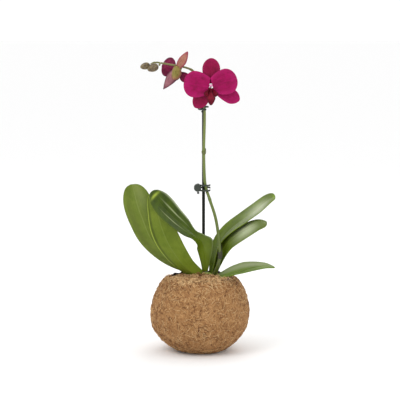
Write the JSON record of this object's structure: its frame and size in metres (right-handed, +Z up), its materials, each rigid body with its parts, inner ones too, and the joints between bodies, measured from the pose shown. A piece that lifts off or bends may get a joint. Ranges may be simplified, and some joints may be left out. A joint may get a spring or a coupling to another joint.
{
  "type": "orchid kokedama",
  "caption": "Moth orchid with strap leaves and an arching flower spike, rooted in an open coir ball and clipped to a slim stake.",
  "frame": {"origin": "middle of the coir ball's flat base, where it stands on a table", "axes": "+Z up along the ball's axis, +X to the right of a viewer who faces the open flower, +Y away from that viewer"},
  "size_m": [0.1986, 0.129, 0.3904],
  "materials": {
    "coir": "matte",
    "liner_film": "satin",
    "growing_medium": "matte",
    "loose_coir": "matte",
    "crown": "satin",
    "stake": "satin",
    "leaf_underside": "satin",
    "leaf_glossy": "gloss",
    "leaf": "satin",
    "spike": "satin",
    "sheath": "matte",
    "open_petal": "satin",
    "rear_petal": "satin",
    "column": "satin",
    "lip": "satin",
    "pedicel": "satin",
    "bud": "satin",
    "clip": "satin",
    "pin": "satin",
    "spring": "satin"
  },
  "bodies": {
    "planter": {"coir_shell": "coir", "liner": "liner_film", "growing_medium": "growing_medium", "coir_topping": "loose_coir", "crown_and_roots": "crown", "support_stake": "stake", "leaf_left_outer": "leaf_underside", "leaf_left_inner": "leaf_underside", "leaf_centre": "leaf_glossy", "leaf_right_upper": "leaf", "leaf_right_lower": "leaf", "leaf_low_right": "leaf", "flower_spike": "spike", "lower_sheath": "sheath", "upper_sheath": "sheath", "open_flower_pedicel": "pedicel", "rear_flower_pedicel": "pedicel", "lower_bud_pedicel": "pedicel", "tip_bud_pedicel": "pedicel", "lower_bud": "bud", "tip_bud": "bud", "open_flower_dorsal_sepal": "open_petal", "open_flower_right_lower_sepal": "open_petal", "open_flower_left_lower_sepal": "open_petal", "open_flower_right_petal": "open_petal", "open_flower_left_petal": "open_petal", "rear_flower_dorsal_sepal": "rear_petal", "rear_flower_right_lower_sepal": "rear_petal", "rear_flower_left_lower_sepal": "rear_petal", "rear_flower_right_petal": "rear_petal", "rear_flower_left_petal": "rear_petal", "open_flower_column": "column", "rear_flower_column": "column", "open_flower_lip": "lip", "rear_flower_lip": "lip", "lower_clip_single_jaw": "clip", "lower_clip_hinge_pin": "pin", "lower_clip_spring": "spring", "upper_clip_single_jaw": "clip", "upper_clip_hinge_pin": "pin", "upper_clip_spring": "spring"},
    "lower_clip_jaw": {"lower_clip_double_jaw": "clip"},
    "upper_clip_jaw": {"upper_clip_double_jaw": "clip"}
  },
  "joints": [
    {"name": "lower_clip_hinge", "type": "hinge", "parent": "planter", "child": "lower_clip_jaw", "pos_m": [-0.00243, 0.00867, 0.213], "axis": [0, 0, -1], "range_deg": [0, 35], "stiffness_Nm_per_rad": 0.0005, "springref_deg": -57.3},
    {"name": "upper_clip_hinge", "type": "hinge", "parent": "planter", "child": "upper_clip_jaw", "pos_m": [0.00311, 0.01681, 0.3185], "axis": [0, 0, -1], "range_deg": [0, 35], "stiffness_Nm_per_rad": 0.0005, "springref_deg": -57.3}
  ]
}
